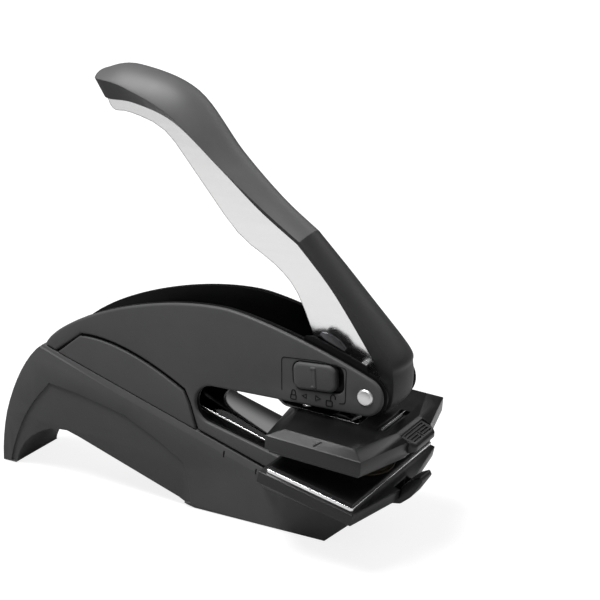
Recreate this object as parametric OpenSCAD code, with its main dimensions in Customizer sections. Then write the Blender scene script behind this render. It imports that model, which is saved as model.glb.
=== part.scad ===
// Desk seal embosser: a folding lever presses an upper die down on a lower one.
// Frame: +X towards the dies, +Z up, origin at the centre of the front foot, on the table.
// The side with the lock button is the right side, at -Y.

/* [Base] */
// Length of the flat front foot
foot_l = 49; // [40:1:60]
// Half width of the base at the table
base_hw = 12.4; // [10:0.2:13]
// How much wider each side of the base is at its rear top than at the table
base_flare = 1.2; // [0.8:0.2:3]
// Distance from the front foot's centre back to the tail
tail_x = 104.8; // [95:0.2:115]
// Thickness of the tail's foot along the length
tail_foot = 5.6; // [4:0.2:8]
// Height of the seam between base and covers, above the origin
seam_z0 = 21.6; // [18:0.1:25]
// Fall of the seam towards the front, in degrees
seam_deg = 17.2; // [14:0.1:19]
// Depth of the sunk side panels
panel_depth = 0.6; // [0.3:0.1:1]
// How far the rubber feet stand out
pad_proud = 0.5; // [0.2:0.1:1]
// Thickness of the rubber feet
pad_t = 1.6; // [1.2:0.1:2.5]

/* [Frame and covers] */
// Clear width between the two steel frames
channel_w = 19.6; // [18.6:0.2:22]
// Thickness of a steel frame
frame_t = 1; // [0.8:0.1:1.5]
// Thickness of a side cover
cover_t = 2; // [1.6:0.1:3]
// Distance of the pivot pin ahead of the origin
pin_x = 37.7; // [35:0.1:39]
// Height of the pivot pin
pin_z = 52.9; // [52.3:0.1:55]
// Diameter of the pivot pin
pin_d = 5.4; // [4:0.1:6]
// Radius of the covers' nose
nose_r = 6.4; // [6:0.1:7.4]
// How much larger the steel frame's nose is
frame_lip = 0.7; // [0.3:0.1:1.2]
// How high the frame's ear stands over the cover's rim
ear_h = 2.3; // [1:0.1:3]
// Height of the covers' dome
dome_z = 73.2; // [71:0.1:77]
// Gap between the covers and the base along the seam
seam_gap = 0.3; // [0.1:0.05:0.6]
// Depth of the throat behind the origin
throat_x = 23.9; // [21:0.1:26]
// Height of the throat's rear end
throat_h = 13.2; // [11:0.1:13.6]

/* [Name panel] */
// Thickness of the blank side panel
label_t = 1.2; // [0.8:0.1:1.6]
// Width of the groove round it
label_gap = 0.8; // [0.4:0.1:1.2]

/* [Dies] */
// Width of the die holders
holder_w = 62; // [56:1:68]
// Tilt of the lower tray, in degrees
tray_deg = 12.5; // [11:0.1:14]
// Thickness of the lower tray
tray_t = 4; // [3:0.1:5]
// Height of the upper holder's side wall
holder_h = 4.6; // [4:0.1:6]
// Width of the bevel round the upper holder's top
bevel_w = 4.3; // [3:0.1:5]
// Rise of that bevel
bevel_h = 1.8; // [1:0.1:2.5]
// Tilt of the upper holder when open, in degrees
holder_deg = 3.3; // [2.5:0.1:3.6]
// Thickness of the steel plate under the lower die
steel_t = 1.4; // [1:0.1:1.6]
// Thickness of the spring strip that joins it to the upper holder
strip_t = 0.8; // [0.6:0.1:1]
// Width of the spring leaves
leaf_w = 18.4; // [16:0.1:18.8]
// Thickness of the pad under the lower die
die_pad_t = 1.1; // [0.8:0.1:1.4]
// Diameter of the dies
die_d = 28; // [20:0.5:28]
// Thickness of the upper die below its holder
upper_die_t = 1.2; // [0.8:0.1:1.4]

/* [Handle] */
// Width of the steel lever
lever_w = 12.6; // [12:0.1:13.2]
// Thickness of the lever's walls
lever_t = 1.5; // [1:0.1:2]
// Width of the grip at its widest
grip_w = 20.6; // [18:0.2:24]
// Width of the handle's nose cover
nose_w = 15.2; // [14.6:0.1:16]
// Travel of the handle, in degrees
handle_deg = 38; // [34:1:38]
// Radius of the press roller
roller_r = 4.1; // [3.6:0.1:4.4]
// Distance of the press roller from the pivot pin
roller_arm = 12.8; // [12.6:0.1:13]
// Diameter of the roller's pin
roller_pin_d = 3; // [2:0.1:3.4]

/* [Lock and latch] */
// Length of the lock button
button_l = 15; // [12:0.5:16]
// Height of the lock button
button_h = 9; // [7:0.5:10]
// How far the lock button stands out of the cover
button_proud = 0.9; // [0.5:0.1:1.5]
// Travel of the lock
lock_travel = 2.3; // [1.5:0.1:2.6]
// Height of the tray plane, carried back above the origin
tray_z0 = 31.3; // [30:0.1:32]
// Height of the upper holder edge, carried back above the origin
holder_z0 = 42.3; // [41.8:0.1:42.6]
// Width of the latch lever under the tray
latch_w = 8; // [6:0.5:10]
// Diameter of the latch's pin
latch_pin_d = 1.8; // [1.4:0.1:2]

/* [Hidden] */
$fn = 48;

// Colours of the finishes
black = [0.1, 0.1, 0.11];
soft_black = [0.16, 0.16, 0.17];
steel = [0.85, 0.85, 0.86];
dark_steel = [0.06, 0.06, 0.07];
rubber = [0.05, 0.05, 0.05];
brass = [0.72, 0.6, 0.32];

// Running clearance round a pin, and the gap left between parts that move past each other
run_gap = 0.05;
pass_gap = 0.3;

// Half widths, outwards from the middle
frame_y = channel_w / 2;
cover_y = frame_y + frame_t;
side_y = cover_y + cover_t;

// Points along a cubic curve, and along an arc in the side view
function cubic(a, b, c, d, n = 12) = [for (i = [0:n]) let (t = i / n, s = 1 - t)
    s * s * s * a + 3 * s * s * t * b + 3 * s * t * t * c + t * t * t * d];
function arc(c, r, a0, a1, n = 10) = [for (i = [0:n]) let (a = a0 + (a1 - a0) * i / n)
    [c[0] + r * cos(a), c[1] + r * sin(a)]];
// Corner points of a rounded rectangle of length l and height h about c
function slot_shape(c, l, h, r) = [for (q = [[1, 1, 0], [-1, 1, 90], [-1, -1, 180], [1, -1, 270]])
    each arc([c[0] + q[0] * (l / 2 - r), c[1] + q[1] * (h / 2 - r)], r, q[2], q[2] + 90, 5)];
function turned(p, c, a) = [c[0] + (p[0] - c[0]) * cos(a) - (p[1] - c[1]) * sin(a),
    c[1] + (p[0] - c[0]) * sin(a) + (p[1] - c[1]) * cos(a)];

// A side-view outline made solid from y0 to y1
module side(outline, y0, y1) {
    translate([0, y1, 0]) rotate([90, 0, 0]) linear_extrude(y1 - y0) polygon(outline);
}
// A round bar along Y at a point of the side view
module bar(p, r, y0, y1) {
    translate([p[0], y1, p[1]]) rotate([90, 0, 0]) cylinder(r = r, h = y1 - y0);
}
// The same piece on the other side
module mirror_y() {
    mirror([0, 1, 0]) children();
}
// A closed skin through a list of sections with equal numbers of points
module loft(secs) {
    n = len(secs[0]);
    m = len(secs);
    walls = [for (i = [0:m - 2]) for (j = [0:n - 1]) let (k = (j + 1) % n)
        each [[i * n + j, i * n + k, i * n + n + j], [i * n + k, i * n + n + k, i * n + n + j]]];
    ends = [[for (j = [n - 1:-1:0]) j], [for (j = [0:n - 1]) (m - 1) * n + j]];
    polyhedron(points = [for (s = secs) each s], faces = concat(walls, ends), convexity = 6);
}

// ---- Base ----
function seam_z(x) = seam_z0 - x * tan(seam_deg);
function tray_top(x) = tray_z0 - x * tan(tray_deg);
function tray_under(x) = tray_top(x) - tray_t / cos(tray_deg);
seam_back = tail_x - 19.5;
tray_back = 10.5;
tray_front = 44.4;
tray_crown = 4.2;
holder_hw = holder_w / 2;
cover_front = tray_back * cos(tray_deg) - tray_t * sin(tray_deg) - pass_gap;
pedestal_back = cover_front + 0.2;
pedestal_front = 40;
tail_curve = cubic([-seam_back, seam_z(-seam_back)], [9.8 - tail_x, 41], [0.8 - tail_x, 20],
    [-tail_x, pad_proud]);
arch_curve = cubic([tail_foot - tail_x, pad_proud], [7.5 - tail_x, 9], [16 - tail_x, 17.8], [28.8 - tail_x, 17.8]);
foot_front = foot_l / 2;
base_outline = concat([[foot_front, pad_proud], [pedestal_front, tray_under(pedestal_front)],
    [pedestal_back, tray_under(pedestal_back)], [pedestal_back, seam_z(pedestal_back)]],
    tail_curve, arch_curve, [[33.8 - tail_x, 16.4], [-31, 2.9], [-27.5, 1.1], [-foot_front, pad_proud]]);
flare_top = 20;
strip_drop_back = 1.6;
strip_drop_front = 5;
panel_outline = concat([[-25.8, 2], [-26.9, 11.7], [-28.4, 16.6], [-37.9, 22.6], [-51.9, 29],
    [34.5 - tail_x, 32.9], [22.2 - tail_x, 34.4]],
    cubic([20.2 - tail_x, 32], [13.8 - tail_x, 25.5], [7.3 - tail_x, 15], [3.4 - tail_x, 1]), [[-60, -2]]);

// The base's cross-section, thinner by t on each side
module base_section(t = 0) {
    w0 = base_hw - t;
    w1 = base_hw + base_flare - t;
    translate([-tail_x - 5, 0, 0]) rotate([90, 0, 90]) linear_extrude(tail_x + 60)
        polygon([[-w0, 0], [w0, 0], [w1, flare_top], [w1, 80], [-w1, 80], [-w1, flare_top]]);
}
// The bevel that leads the base's side in under the cover, at +Y
module strip_bevel() {
    y0 = side_y - 0.1;
    y1 = base_hw + base_flare + 1;
    x0 = -tail_x - 2;
    secs = [for (e = [[x0, strip_drop_back], [pedestal_back + 4, strip_drop_front]])
        let (z = seam_z(e[0])) [[e[0], y0, z + 0.05], [e[0], y0, z + 12], [e[0], y1, z + 12],
            [e[0], y1, z - e[1]]]];
    loft(secs);
}
// The tray's outline seen from above, drawn in by d
function tray_plan(d) = [[tray_back + d, d - holder_hw], [tray_front - d, d - holder_hw],
    [tray_front + tray_crown - d, -3], [tray_front + tray_crown - d, 3], [tray_front - d, holder_hw - d],
    [tray_back + d, holder_hw - d]];
module in_tray() {
    translate([0, 0, tray_z0]) rotate([0, tray_deg, 0]) children();
}
wing_in = 1.2;
wing_sink = 0.1;
crease_x = 2.3;
crease_z = 14.9;
waist_hw = base_hw + 2.6;
waist_drop = 5;
waist_l = 30;
// The level at which the wings stop being steep and flare out to the tray
module wing_waist(crease_hw) {
    in_tray() translate([tray_back + 1, -waist_hw, -tray_t - waist_drop]) cube([waist_l, 2 * waist_hw, 0.2]);
    translate([crease_x, -crease_hw, crease_z - 0.4]) cube([1, 2 * crease_hw, 0.4]);
}
// The flared wings that carry the tray
module tray_wings() {
    crease_hw = base_hw + base_flare * crease_z / flare_top;
    difference() {
        union() {
            hull() {
                in_tray() translate([0, 0, -tray_t - 0.2]) linear_extrude(0.2) polygon(tray_plan(wing_in));
                wing_waist(crease_hw);
            }
            hull() {
                wing_waist(crease_hw);
                translate([8, -base_hw, pad_proud]) cube([foot_front - 8, 2 * base_hw, 0.4]);
            }
        }
        side([[crease_x - 5, seam_z(crease_x - 5) - wing_sink], [pedestal_back, seam_z(pedestal_back) - wing_sink],
            [pedestal_back, 40], [crease_x - 5, 40]], -side_y - 0.4, side_y + 0.4);
    }
}
latch_p = [40, 16.2];
latch_room = pass_gap + latch_w / 2;
screw_at = [[14, 0], [-14, 0]];
screw_r = 1.5;
screw_head_r = 3;
screw_sink = 3;
front_pad_l = foot_l - 6;
pad_hw = base_hw - 3;
rear_pad_l = tail_foot - 1.2;
module base_housing() {
    color(black) difference() {
        union() {
            intersection() {
                side(base_outline, -20, 20);
                base_section();
            }
            tray_wings();
        }
        difference() {
            union() {
                side(panel_outline, -20, -5);
                side(panel_outline, 5, 20);
            }
            base_section(panel_depth);
        }
        strip_bevel();
        mirror_y() strip_bevel();
        // pocket for the latch, and its pin's bore
        translate([latch_p[0] - latch_boss_r - 1, -latch_room, 0]) cube([20, 2 * latch_room, 40]);
        bar(latch_p, latch_pin_d / 2, -latch_room - 4, latch_room + 4);
        // seats of the rubber feet
        translate([-front_pad_l / 2, -pad_hw, 0]) cube([front_pad_l, 2 * pad_hw, pad_t]);
        translate([0.6 - tail_x, -pad_hw, 0]) cube([rear_pad_l, 2 * pad_hw, pad_t]);
        for (p = screw_at) {
            translate([p[0], p[1], 0]) cylinder(r = screw_r, h = 12);
            translate([p[0], p[1], 0]) cylinder(r = screw_head_r, h = pad_t + screw_sink);
        }
    }
}
module die_tray() {
    notch = latch_room + 0.2;
    color(black) in_tray() difference() {
        translate([0, 0, -tray_t]) linear_extrude(tray_t) polygon(tray_plan(0));
        // the latch comes up through a notch in the front edge
        translate([tray_front + 1.6, -notch, -tray_t - 1]) cube([10, 2 * notch, tray_t + 2]);
    }
}
module front_foot_pad() {
    color(rubber) difference() {
        translate([-front_pad_l / 2, -pad_hw, 0]) cube([front_pad_l, 2 * pad_hw, pad_t]);
        for (p = screw_at) translate([p[0], p[1], -1]) cylinder(r = screw_head_r, h = pad_t + 2);
    }
}
module rear_foot_pad() {
    color(rubber) translate([0.6 - tail_x, -pad_hw, 0]) cube([rear_pad_l, 2 * pad_hw, pad_t]);
}
module base_screws() {
    color(steel) for (p = screw_at) translate([p[0], p[1], pad_t + screw_sink - 2]) difference() {
        union() {
            cylinder(r = screw_head_r, h = 2);
            cylinder(r = screw_r, h = 12 - pad_t - screw_sink + 2);
        }
        for (a = [0, 90]) rotate([0, 0, a]) translate([-2, -0.4, -1]) cube([4, 0.8, 1.8]);
    }
}

// ---- Frames and covers ----
pin = [pin_x, pin_z];
nose_c = [pin_x - 0.5, pin_z];
arm_z = nose_c[1] - nose_r;
peak = [-14, dome_z];
cover_back = seam_back - 1.3;
throat_r = throat_h / 2;
arm_fall = 0.9;
throat_c = [throat_r - throat_x, arm_z - arm_fall - throat_r];
throat_deg = 13.3;
throat_low = throat_c + throat_r * [cos(270 - throat_deg), sin(270 - throat_deg)];
function throat_floor(x) = throat_low[1] - (x - throat_low[0]) * tan(throat_deg);
// The C-shaped side outline: over the dome, round the nose, back along the throat
// gap lifts it off the seam, lip enlarges the nose
function side_outline(gap, lip) = let (nose_top = nose_c + (nose_r + lip) * [cos(66), sin(66)])
    concat([[-cover_back, seam_z(-cover_back) + gap]],
    cubic([-cover_back, seam_z(-cover_back) + 1.4], [6.5 - cover_back, 59.5], [-42, dome_z + 0.3], peak, 14),
    cubic(peak, [-4, dome_z], [pin_x - 16.1, 66.2 + lip], nose_top, 12),
    arc(nose_c, nose_r + lip, 62, -90, 14), arc(throat_c, throat_r, 90, 270 - throat_deg, 12),
    [[cover_front, throat_floor(cover_front)], [cover_front, seam_z(cover_front) + gap]]);
ear_outline = [for (p = [[-23.6, 8], [-22.4, 13.2], [-19.6, 13.7], [-8.6, 10], [-0.6, 6.9], [1.6, 3]])
    pin + p + [0, p[1] > 5 ? ear_h : 0]];
spacer_at = [[14 - cover_back, seam_z(14 - cover_back) + 4.2], [-40, 42.5], [-33.5, 53.1]];
spacer_r = 3;
rivet_r = 1.5;
buffer_r = 4.7;
button_c = [20.2, 56.3];
lock_deg = 4;
lock_dir = [cos(lock_deg), sin(lock_deg)];
stem_l = 6;
stem_h = 3;
button_gap = 0.35;
function lock_shape(l, h, r, dx = 0) = [for (p = slot_shape(button_c + [dx, 0], l, h, r))
    turned(p, button_c, lock_deg)];

module frame_plate() {
    difference() {
        union() {
            side(side_outline(0, frame_lip), frame_y, cover_y);
            side(ear_outline, frame_y, cover_y);
        }
        bar(pin, pin_d / 2, 0, 20);
        for (p = spacer_at) bar(p, rivet_r, 0, 20);
    }
}
module left_frame() {
    color(dark_steel) frame_plate();
}
module right_frame() {
    slit = lock_shape(stem_l + lock_travel + 2 * button_gap, stem_h + 2 * button_gap, 1, lock_travel / 2);
    color(dark_steel) difference() {
        mirror_y() frame_plate();
        side(slit, -20, 0);
    }
}
// Outline of the blank panel on each side, above the seam
label_back = 4.8 - cover_back;
label_front = 0.3 - throat_x;
label_top = concat(cubic([label_back + 9.6, 54], [label_back + 19.2, 55], [label_front - 22.4, 52],
    [label_front - 4.8, 42], 8), [[label_front - 2.8, 37.8]]);
// grown by g along the top and ends, whose slopes are carried down by drop past the seam
function label_edge(g, drop) = let (back = label_back - g, front = label_front + g)
    concat([[back - 1.3 * drop, seam_z(back) + seam_gap - drop]],
    [for (p = label_top) p + g * [0.5, 0.87]],
    [[front + 0.3 * drop, seam_z(front) + seam_gap - drop]]);
module cover_shell() {
    difference() {
        side(side_outline(seam_gap, 0), cover_y, side_y);
        bar(pin, pin_d / 2, 0, 20);
        side(label_edge(label_gap, 2), side_y - label_t, side_y + 1);
    }
}
module left_cover() {
    color(black) cover_shell();
}
module right_cover() {
    window = lock_shape(button_l + lock_travel + 2 * button_gap, button_h + 2 * button_gap, 3, lock_travel / 2);
    color(black) difference() {
        mirror_y() cover_shell();
        side(window, -20, 0);
    }
}
module left_name_panel() {
    color(soft_black) side(label_edge(0, 0), side_y - label_t, side_y + 0.1);
}
module right_name_panel() {
    color(soft_black) mirror_y() side(label_edge(0, 0), side_y - label_t, side_y + 0.1);
}
// Tubes that hold the two frames apart, with their rivets headed over on the outside
module frame_spacers() {
    color(steel) for (p = spacer_at) {
        bar(p, spacer_r, -frame_y, frame_y);
        bar(p, rivet_r, -cover_y, cover_y);
    }
}
module lever_buffer() {
    color(rubber) difference() {
        bar(spacer_at[2], buffer_r, -5, 5);
        bar(spacer_at[2], spacer_r, -6, 6);
    }
}
pin_proud = 0.5;
module pivot_pin() {
    color(steel) bar(pin, pin_d / 2, -side_y - pin_proud, side_y + pin_proud);
}

// ---- Spring clip and lower die ----
// The strip's middle lines: low from the plate back to the bend, and high over it to the holder
strap_deg = 16.2;
strap_sink = 3.3;
leaf_rise = 2.2;
low_mid = tray_z0 + steel_t - strap_sink;
high_mid = holder_z0 + (bevel_h - strip_t / 2 + leaf_rise) / cos(holder_deg);
bend_x = -27;
bend_r = (high_mid - low_mid + bend_x * (tan(strap_deg) - tan(holder_deg))) * cos(strap_deg)
    / (1 + cos(strap_deg) / cos(holder_deg));
bend_c = [bend_x, high_mid - bend_x * tan(holder_deg) - bend_r / cos(holder_deg)];
hinge_x = -3;
hinge_gap = 0.15;
function strap_line(x, mid, deg, off) = [x, mid - x * tan(deg) + off / cos(deg)];
half_t = strip_t / 2;
// Where the low strip steps up behind the tray to the plate
step_x = 6.6;
step_end = 9.9;
function on_tray(x, up) = [x, tray_top(x) + up / cos(tray_deg)];
strap_outline = concat([on_tray(step_end + 4, run_gap), on_tray(step_end, run_gap),
    strap_line(step_x, low_mid, strap_deg, -half_t)],
    arc(bend_c, bend_r + half_t, 270 - strap_deg, 90 - holder_deg, 14),
    [strap_line(hinge_x - hinge_gap, high_mid, holder_deg, half_t),
        strap_line(hinge_x - hinge_gap, high_mid, holder_deg, -half_t)],
    arc(bend_c, bend_r - half_t, 90 - holder_deg, 270 - strap_deg, 14),
    [strap_line(step_x - 0.5, low_mid, strap_deg, half_t), on_tray(step_end - 0.5, run_gap + strip_t),
        on_tray(step_end + 4, run_gap + strip_t)]);
plate_back = 12.5;
plate_front = 43.4;
plate_in = 1.1;
module spring_clip() {
    hw = holder_hw - plate_in;
    color(steel) union() {
        side(strap_outline, -leaf_w / 2, leaf_w / 2);
        in_tray() translate([0, 0, run_gap]) linear_extrude(steel_t)
            polygon([[plate_back, -hw], [plate_front, -hw], [plate_front, hw], [plate_back, hw]]);
    }
}
die_x = 28;
die_sink = 0.9;
die_rise = 0.3;
pad_in = 0.6;
module lower_die_pad() {
    hw = holder_hw - plate_in - pad_in;
    color(soft_black) in_tray() translate([0, 0, run_gap + steel_t]) difference() {
        linear_extrude(die_pad_t) polygon([[plate_back + pad_in, -hw], [plate_front - pad_in, -hw],
            [plate_front - pad_in, hw], [plate_back + pad_in, hw]]);
        translate([die_x, 0, die_pad_t - die_sink]) cylinder(d = die_d, h = 2);
    }
}
module lower_die() {
    color(brass) in_tray() translate([die_x, 0, run_gap + steel_t + die_pad_t - die_sink])
        cylinder(d = die_d, h = die_sink + die_rise);
}

// ---- Latch under the tray's front ----
latch_boss_r = 1.9;
latch_outline = concat(arc(latch_p, latch_boss_r, 60, 270, 8), [for (p = [[6.8, -0.7], [10.2, 2.2], [14.1, 8.3],
    [13.3, 9.8], [10.6, 8.5], [7.6, 5.8], [5.2, 2.4], [4.1, 0.8]]) latch_p + p]);
module latch_lever() {
    color(black) difference() {
        side(latch_outline, -latch_w / 2, latch_w / 2);
        bar(latch_p, latch_pin_d / 2 + run_gap, -latch_w, latch_w);
    }
}
module latch_pin() {
    color(steel) bar(latch_p, latch_pin_d / 2, -latch_room - 3.5, latch_room + 3.5);
}

// ---- Lock ----
hook_t = 1.2;
hook_y = frame_y - 0.3;
// Its notch, open to the front, takes the lug
hook_outline = [for (p = [[-1.4, -3.3], [-1.6, 9.2], [-1, 12.3], [0.4, 14.1], [2.4, 14], [6.4, 12.2], [8.8, 9.9],
    [8, 7.2], [8, 2.9], [5, 2.9], [5, -0.6], [7.4, -0.6], [7.4, -3.3]]) button_c + p];
module lock_button() {
    color(soft_black) union() {
        side(lock_shape(button_l, button_h, 2.6), -side_y - 0.2, -cover_y - 0.1);
        hull() {
            side(lock_shape(button_l, button_h, 2.6), -side_y - 0.21, -side_y - 0.2);
            side(lock_shape(button_l - 2.4, button_h - 2, 1.8), -side_y - button_proud, -side_y - 0.6);
        }
        side(lock_shape(stem_l, stem_h, 0.8), -cover_y - 0.1, -hook_y);
    }
}
module lock_hook() {
    color(dark_steel) side(hook_outline, -hook_y, -hook_y + hook_t);
}

// ---- Handle ----
// Stations from the tip to the joint: edge next to the steel lever, crown, width, height of the side wall
grip_stations = [
    [[-61.8, 137.4], [-67, 142.3], 9, 0.6],
    [[-60.2, 135.3], [-64.6, 144.2], 16, 0.5],
    [[-50, 134.8], [-53, 146.2], grip_w - 0.8, 0.3],
    [[-35, 130], [-31.4, 140.1], grip_w, 0.2],
    [[-18, 117.1], [-14.6, 121.8], 16.6, 0.15],
    [[-3.6, 105.5], [0.4, 108.4], 13.8, 0.2],
    [[10, 96.4], [12.6, 99.4], 13.6, 0.3]];
nose_stations = [
    [[10, 96.4], [12.6, 99.4], 13.6, 0.3],
    [[22.3, 83.4], [26.7, 84.5], 14.2, 0.5],
    [[35, 66], [44.5, 65.5], nose_w, 0.75],
    [[39, 59.4], [45.8, 59.5], nose_w, 0.8],
    [[40.3, 54], [45.9, 53.6], nose_w, 0.8],
    [[40.3, 50.4], [45.1, 49.8], nose_w, 0.8],
    [[39.6, 48], [42.6, 46.4], nose_w, 0.8]];
// Lower edge of the lever, from the tip to where it enters the body
lever_under = [[-59.6, 133.6], [-57.4, 131.8], [-51.5, 131.6], [-38.7, 127.2], [-26.8, 114.4], [-11.6, 97.2],
    [1.8, 88.8], [10.2, 80.5], [17.5, 64]];
// A smooth run through stations, k steps between each pair
function between(a, b, c, d, t) = 0.5 * (2 * b + t * (c - a) + t * t * (2 * a - 5 * b + 4 * c - d)
    + t * t * t * (3 * b - a - 3 * c + d));
function run(s, k) = let (m = len(s) - 1) [for (i = [0:m - 1]) for (j = [0:k - (i < m - 1 ? 1 : 0)])
    let (a = s[max(i - 1, 0)], d = s[min(i + 2, m)]) between(a, s[i], s[i + 1], d, j / k)];
bed = 0.28;
bed_gap = 0.05;
skin = 0.4;
// One cross-section of a handle cover: domed outside, with a slot that takes the lever
function cover_section(s) = let (lo = s[0], up = s[1] - s[0], hw = s[2] / 2,
        in = min(lever_w / 2 + bed_gap, hw - skin), foot = in + skin, wall = s[3], sill = bed + bed_gap / norm(up))
    [for (q = concat([[-foot, 0]], [for (a = [0:22.5:180]) [-hw * cos(a), wall + (1 - wall) * sin(a)]],
        [[foot, 0], [in, 0], [in, sill], [-in, sill], [-in, 0]]))
        [lo[0] + q[1] * up[0], q[0], lo[1] + q[1] * up[1]]];
steps = 3;
module handle_grip() {
    color(soft_black) loft([for (s = run(grip_stations, steps)) cover_section(s)]);
}
module nose_cover() {
    color(black) loft([for (s = run(nose_stations, steps)) cover_section(s)]);
}
function bed_line(stations) = [for (s = run(stations, steps)) s[0] + bed * (s[1] - s[0])];
roller_rest = 204.2;
roller_c = pin + roller_arm * [cos(roller_rest), sin(roller_rest)];
hub_r = 7;
boss_r = 3;
lever_top = concat([for (i = [3:len(bed_line(grip_stations)) - 1]) bed_line(grip_stations)[i]],
    [for (i = [1:len(bed_line(nose_stations)) - 1]) bed_line(nose_stations)[i]]);
lever_outline = concat(run(lever_under, steps), [[19.2, 57], [20.4, 50.5]],
    arc(roller_c, boss_r, 190, 290, 6), arc(pin, hub_r, 250, 282, 5),
    [for (i = [len(lever_top) - 1:-1:0]) lever_top[i]]);
// The inside of the folded lever: open below, its top web one wall thick
lever_inside = concat([for (p = run(lever_under, steps)) p + [-2, -2]], [[14, 55], [18, 40], [36, 38]],
    [[44, 46]], [for (i = [len(lever_top) - 1:-1:0]) lever_top[i] - lever_t * [0.62, 0.78]]);
module handle_lever() {
    iy = lever_w / 2 - lever_t;
    color(steel) difference() {
        side(lever_outline, -lever_w / 2, lever_w / 2);
        side(lever_inside, -iy, iy);
        bar(pin, pin_d / 2 + 0.8, -10, 10);
        bar(roller_c, roller_pin_d / 2, -10, 10);
    }
}
module lever_bushes() {
    color(brass) difference() {
        bar(pin, pin_d / 2 + 0.8, -lever_w / 2, lever_w / 2);
        bar(pin, pin_d / 2 + run_gap, -10, 10);
    }
}
module roller_pin() {
    color(steel) bar(roller_c, roller_pin_d / 2, -lever_w / 2, lever_w / 2);
}
module press_roller() {
    iy = lever_w / 2 - lever_t - 0.2;
    color(steel) difference() {
        bar(roller_c, roller_r, -iy, iy);
        bar(roller_c, roller_pin_d / 2 + run_gap, -10, 10);
    }
}
lug_shut = [29.8, 57.5];
lug_c = turned(lug_shut, pin, -handle_deg);
lug_r = 1.1;
module lock_lug() {
    color(steel) bar(lug_c, lug_r, -hook_y + 0.2, -lever_w / 2);
}

// ---- Upper die holder ----
lip_h = 1.2;
lip_in = 1;
holder_back = 12.7;
holder_front = 45.6;
holder_crown = 5.4;
back_crown = 4;
function holder_plan(d) = [[holder_back + d, d - holder_hw], [holder_front - d, d - holder_hw],
    [holder_front + holder_crown - d, -8.5], [holder_front + holder_crown - d, 8.5],
    [holder_front - d, holder_hw - d], [holder_back + d, holder_hw - d], [holder_back - back_crown + d, 8],
    [holder_back - back_crown + d, -8]];
module in_holder() {
    translate([0, 0, holder_z0]) rotate([0, holder_deg, 0]) children();
}
leaf_front = 34;
leaf_step = 4.5;
rivet_x = 14;
rivet_y = 5.5;
leaf_rivet_r = 1;
strip_x = 41.5;
strip_l = 18;
tab_hw = 8.4;
tab_back = holder_front + 2.4;
tab_front = 54;
tab_top = -0.9;
tab_t = 3;
module upper_holder() {
    color(black) in_holder() difference() {
        union() {
            translate([0, 0, -holder_h]) linear_extrude(holder_h) polygon(holder_plan(0));
            translate([0, 0, -holder_h - lip_h]) linear_extrude(lip_h) polygon(holder_plan(lip_in));
            hull() {
                linear_extrude(0.01) polygon(holder_plan(0));
                translate([0, 0, bevel_h - 0.01]) linear_extrude(0.01) polygon(holder_plan(bevel_w));
            }
        }
        // seat of the spring leaf
        translate([0, -leaf_w / 2, bevel_h - strip_t]) cube([leaf_front, leaf_w, 5]);
        for (y = [-rivet_y, rivet_y]) translate([rivet_x, y, -1]) cylinder(r = leaf_rivet_r, h = 3);
        // seat of the die's retaining strip, and the front pull tab's root
        translate([strip_x - 1.5, -strip_l / 2 - 0.5, bevel_h - 1.2]) cube([3.4, strip_l + 1, 3]);
        translate([tab_back, -tab_hw, tab_top - tab_t]) cube([20, 2 * tab_hw, 10]);
    }
}
module upper_leaf() {
    back = (hinge_x + hinge_gap) / cos(holder_deg);
    under = bevel_h - strip_t;
    color(steel) in_holder() difference() {
        side([[back, under + leaf_rise], [leaf_step, under + leaf_rise], [leaf_step + 3, under],
            [leaf_front, under], [leaf_front, bevel_h], [leaf_step + 3.3, bevel_h],
            [leaf_step + 0.3, bevel_h + leaf_rise], [back, bevel_h + leaf_rise]], -leaf_w / 2, leaf_w / 2);
        for (y = [-rivet_y, rivet_y]) translate([rivet_x, y, -1]) cylinder(r = leaf_rivet_r, h = 5);
    }
}
module leaf_rivets() {
    color(steel) in_holder() for (y = [-rivet_y, rivet_y]) translate([rivet_x, y, -1]) {
        cylinder(r = leaf_rivet_r, h = 1 + bevel_h);
        translate([0, 0, 1 + bevel_h]) cylinder(r1 = 1.7 * leaf_rivet_r, r2 = leaf_rivet_r, h = 0.5);
    }
}
module upper_die() {
    color(brass) in_holder() translate([die_x, 0, -holder_h - lip_h - upper_die_t])
        cylinder(d = die_d, h = upper_die_t);
}
module pull_tab() {
    groove = 1;
    color(black) in_holder() difference() {
        translate([tab_back, -tab_hw, tab_top - tab_t])
            linear_extrude(tab_t) polygon([[0, 0], [tab_front - tab_back - 1.5, 0], [tab_front - tab_back, 1.5],
                [tab_front - tab_back, 2 * tab_hw - 1.5], [tab_front - tab_back - 1.5, 2 * tab_hw],
                [0, 2 * tab_hw]]);
        for (y = [-4.5:3:4.5]) translate([tab_back + 0.8, y - groove / 2, tab_top - 0.7])
            cube([tab_front - tab_back - 1.6, groove, 2]);
        translate([tab_back + 3, -tab_hw + 1, tab_top - 0.7]) cube([groove, 2 * tab_hw - 2, 2]);
    }
}
module holder_strip() {
    color(steel) in_holder() side([[strip_x - 1, bevel_h - 1.2], [strip_x + 1.2, bevel_h - 1.2],
        [strip_x + 1.2, bevel_h - 0.4], [strip_x + 0.6, bevel_h + 0.3], [strip_x, bevel_h + 0.3],
        [strip_x - 0.3, bevel_h - 0.4], [strip_x - 1, bevel_h - 0.4]], -strip_l / 2, strip_l / 2);
}

base_housing();
die_tray();
right_frame();
left_frame();
right_cover();
left_cover();
right_name_panel();
left_name_panel();
frame_spacers();
pivot_pin();
front_foot_pad();
rear_foot_pad();
base_screws();
lever_buffer();
spring_clip();
lower_die_pad();
lower_die();
latch_lever();
latch_pin();
lock_button();
lock_hook();
handle_lever();
handle_grip();
nose_cover();
lever_bushes();
roller_pin();
press_roller();
lock_lug();
upper_holder();
upper_leaf();
leaf_rivets();
upper_die();
pull_tab();
holder_strip();
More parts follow.
